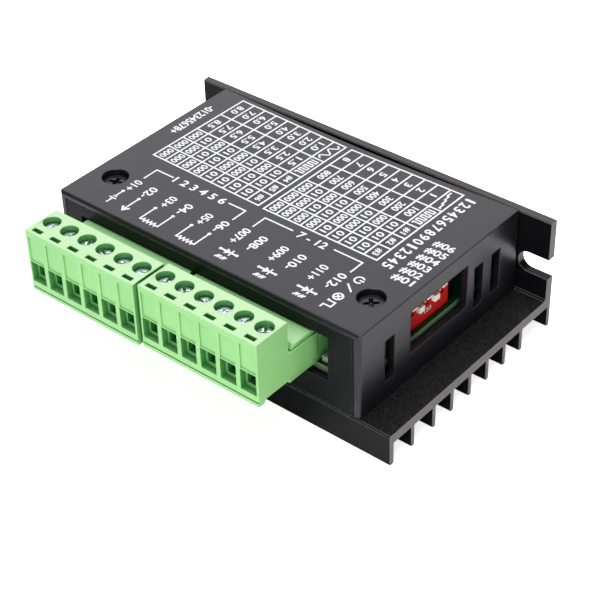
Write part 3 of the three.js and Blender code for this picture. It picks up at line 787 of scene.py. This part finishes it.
def print_side_marks():
    """The row of digits and the signs at the right, and the row of digits at the left."""
    ink = Ink()
    title_x, title_back, title_front = 30.7, 50.6, 20.2
    for i in range(TITLE_COUNT):
        from_front = title_back - (title_back - title_front) * (i + 0.5) / TITLE_COUNT
        ink.at(*cover_place(title_x, from_front), READ).text(str((i + 1) % 10), 1.5, 2.5)
    ink.at(*cover_place(-37.35, 38.3), READ).text("-012345678+", 13.6, 2.3)
    lamp_x = 29.3
    for from_front, draw in ((14.0, power_sign), (7.4, lamp_sign)):
        ink.at(*cover_place(lamp_x, from_front), READ)
        draw(ink, 2.0)
    ink.at(*cover_place(lamp_x, 10.9), READ).line([(-0.9, -1.1), (0.9, 1.1)], THIN)
    ink.at(*cover_place(lamp_x, 4.3), READ)
    pulse_sign(ink, 3.0, 1.8, 1)
    on_cover(ink, "print_side_marks")


def print_switch_numbers():
    """Beside the switch: a number for each of its six sliders."""
    ink = Ink()
    pitch, first = 2.76, 19.3
    for n in range(1, 7):
        from_front = first + pitch * (n - 1)
        ink.at(*cover_place(35.9, from_front)).text(f"#0{n}", 5.0, 2.25)
    on_cover(ink, "print_switch_numbers")


print_tables()
print_terminals()
print_side_marks()
print_switch_numbers()


# ---- Switch numbers -----------------------------------------------------------------

SLIDER_DOWN_Z = 19.5
SLOT_DEPTH = 0.4
FACE_TO_X = Matrix(((0, 0, 1, 0), (1, 0, 0, 0), (0, 1, 0, 0), (0, 0, 0, 1)))


def print_switch_face():
    """A number on each slot's floor, seen where the slider is away, and one on the face below."""
    lo, hi = box_mm("dip_body")
    slots = Ink()
    for n in range(1, 7):
        slider_lo, slider_hi = box_mm(f"dip_slider_{n}")
        slots.at((slider_lo.y + slider_hi.y) / 2, SLIDER_DOWN_Z).text(str(n), 0.75, 1.15)
    slots.piece("print_slot_numbers", Matrix.Translation((hi.x - SLOT_DEPTH, 0, 0)) @ FACE_TO_X)
    face = Ink()
    face.at((lo.y + hi.y) / 2 + 1.6, lo.z + 2.35).text("123", 2.4, 1.0)
    face.piece("print_switch_face", Matrix.Translation((hi.x, 0, 0)) @ FACE_TO_X)


print_switch_face()


# ---- Small parts on the board, seen in the front window ------------------------------

BOARD_LO, BOARD_HI = box_mm("pcb")
CHIP_SIZE = (0.85, 1.6, 0.45)
CHIP_PLACES = ((33.2, 0.7), (34.8, 0.7), (36.4, 0.7), (35.6, 3.2))   # across, and from the board's front
CAP_LENGTH = 0.35
CAP_PROUD = 0.03
CHIP_ROUNDING = 0.05


def block(bm, low, high):
    """A box from its two corners, in millimetres."""
    made = bmesh.ops.create_cube(bm, size=1.0)["verts"]
    for vert in made:
        part = vert.co + Vector((0.5, 0.5, 0.5))
        vert.co = Vector(mm(*(lo + (hi - lo) * p for lo, hi, p in zip(low, high, part))))
    edges = list({edge for vert in made for edge in vert.link_edges})
    bmesh.ops.bevel(bm, geom=edges, offset=mm(CHIP_ROUNDING), segments=2, affect="EDGES")


def chip_part(name, x, from_front):
    """A two-ended chip component: a ceramic block between two soldered end caps."""
    wide, deep, high = CHIP_SIZE
    front = BOARD_LO.y + from_front
    base = BOARD_HI.z
    body = bmesh.new()
    block(body, (x, front + CAP_LENGTH, base),
          (x + wide, front + deep - CAP_LENGTH, base + high - CAP_PROUD))
    add_piece(f"{name}_body", body, "part_ceramic")
    caps = bmesh.new()
    for start in (front, front + deep - CAP_LENGTH):
        block(caps, (x - CAP_PROUD, start, base),
              (x + wide + CAP_PROUD, start + CAP_LENGTH, base + high))
    add_piece(f"{name}_ends", caps, "solder")


for count, (across, from_front) in enumerate(CHIP_PLACES, 1):
    chip_part(f"board_part_{count}", across, from_front)


# ---- Stage --------------------------------------------------------------------------

CAMERA_PLACE = (188.56, -215.19, 221.89)
CAMERA_AZIMUTH = 40.76
CAMERA_ELEVATION = 37.59
CAMERA_ROLL = -1.74
CAMERA_LENS = 99.18
SENSOR_WIDTH = 36
FLOOR_HALF = 3.0
FLOOR_GLOW = 0.8      # light the floor adds, as the camera sees it
WORLD_TINT = (0.97, 0.98, 1.0, 1)
WORLD_STRENGTH = 0.16

# Name, place, aim, size, watts and tint of each softbox.
SOFTBOXES = (
    ("overhead", (40, -60, 700), (0, 0, 10), 420, 6.8, (1, 1, 1)),
    ("back_left", (-310, 360, 370), (0, 0, 20), 620, 1.9, (0.95, 0.95, 1.0)),
    ("front_right", (260, -560, 120), (0, -30, 20), 240, 2.0, (1, 1, 1)),
)


def camera():
    """Looks down on the terminals and the switch end."""
    data = bpy.data.cameras.new("camera")
    data.lens = CAMERA_LENS
    data.sensor_width = SENSOR_WIDTH
    data.clip_start = 0.01
    made = bpy.data.objects.new("camera", data)
    azimuth, elevation = math.radians(CAMERA_AZIMUTH), math.radians(CAMERA_ELEVATION)
    away = Vector((math.sin(azimuth) * math.cos(elevation),
                   -math.cos(azimuth) * math.cos(elevation), math.sin(elevation)))
    right = Vector((0, 0, 1)).cross(away).normalized()
    up = away.cross(right)
    upright = Matrix((right, up, away)).transposed()
    rolled = upright @ Matrix.Rotation(math.radians(CAMERA_ROLL), 3, "Z")
    made.matrix_world = Matrix.Translation(mm(*CAMERA_PLACE)) @ rolled.to_4x4()
    bpy.context.scene.collection.objects.link(made)
    bpy.context.scene.camera = made


def floor():
    """Plain white floor that glows a little for the camera alone."""
    made = Finish("floor_white", Roughness=0.6)
    haze = made.noise(60, 2)
    made.set(Base_Color=made.mix(haze, grey(0.87), grey(0.9)), Emission_Color=(1, 1, 1))
    seen = made.node("ShaderNodeLightPath").outputs["Is Camera Ray"]
    made.set(Emission_Strength=made.maths("MULTIPLY", seen, FLOOR_GLOW))
    mesh = bpy.data.meshes.new("floor")
    corners = [(FLOOR_HALF * u, FLOOR_HALF * v, 0) for u, v in ((-1, -1), (1, -1), (1, 1), (-1, 1))]
    mesh.from_pydata(corners, [], [(0, 1, 2, 3)])
    mesh.materials.append(made.mat)
    plane = bpy.data.objects.new("floor", mesh)
    bpy.context.scene.collection.objects.link(plane)


def softbox(name, place, target, size, power, colour):
    data = bpy.data.lights.new(name, "AREA")
    data.shape = "SQUARE"
    data.size = mm(size)
    data.energy = power
    data.color = colour
    made = bpy.data.objects.new(name, data)
    made.location = mm(*place)
    made.rotation_mode = "QUATERNION"
    made.rotation_quaternion = (mm(*place) - mm(*target)).to_track_quat("Z", "Y")
    bpy.context.scene.collection.objects.link(made)


def lighting():
    world = bpy.data.worlds.new("studio")
    world.use_nodes = True
    backdrop = world.node_tree.nodes["Background"]
    backdrop.inputs["Color"].default_value = WORLD_TINT
    backdrop.inputs["Strength"].default_value = WORLD_STRENGTH
    bpy.context.scene.world = world
    for box in SOFTBOXES:
        softbox(*box)
    bpy.context.scene.view_settings.view_transform = "Standard"


camera()
floor()
lighting()
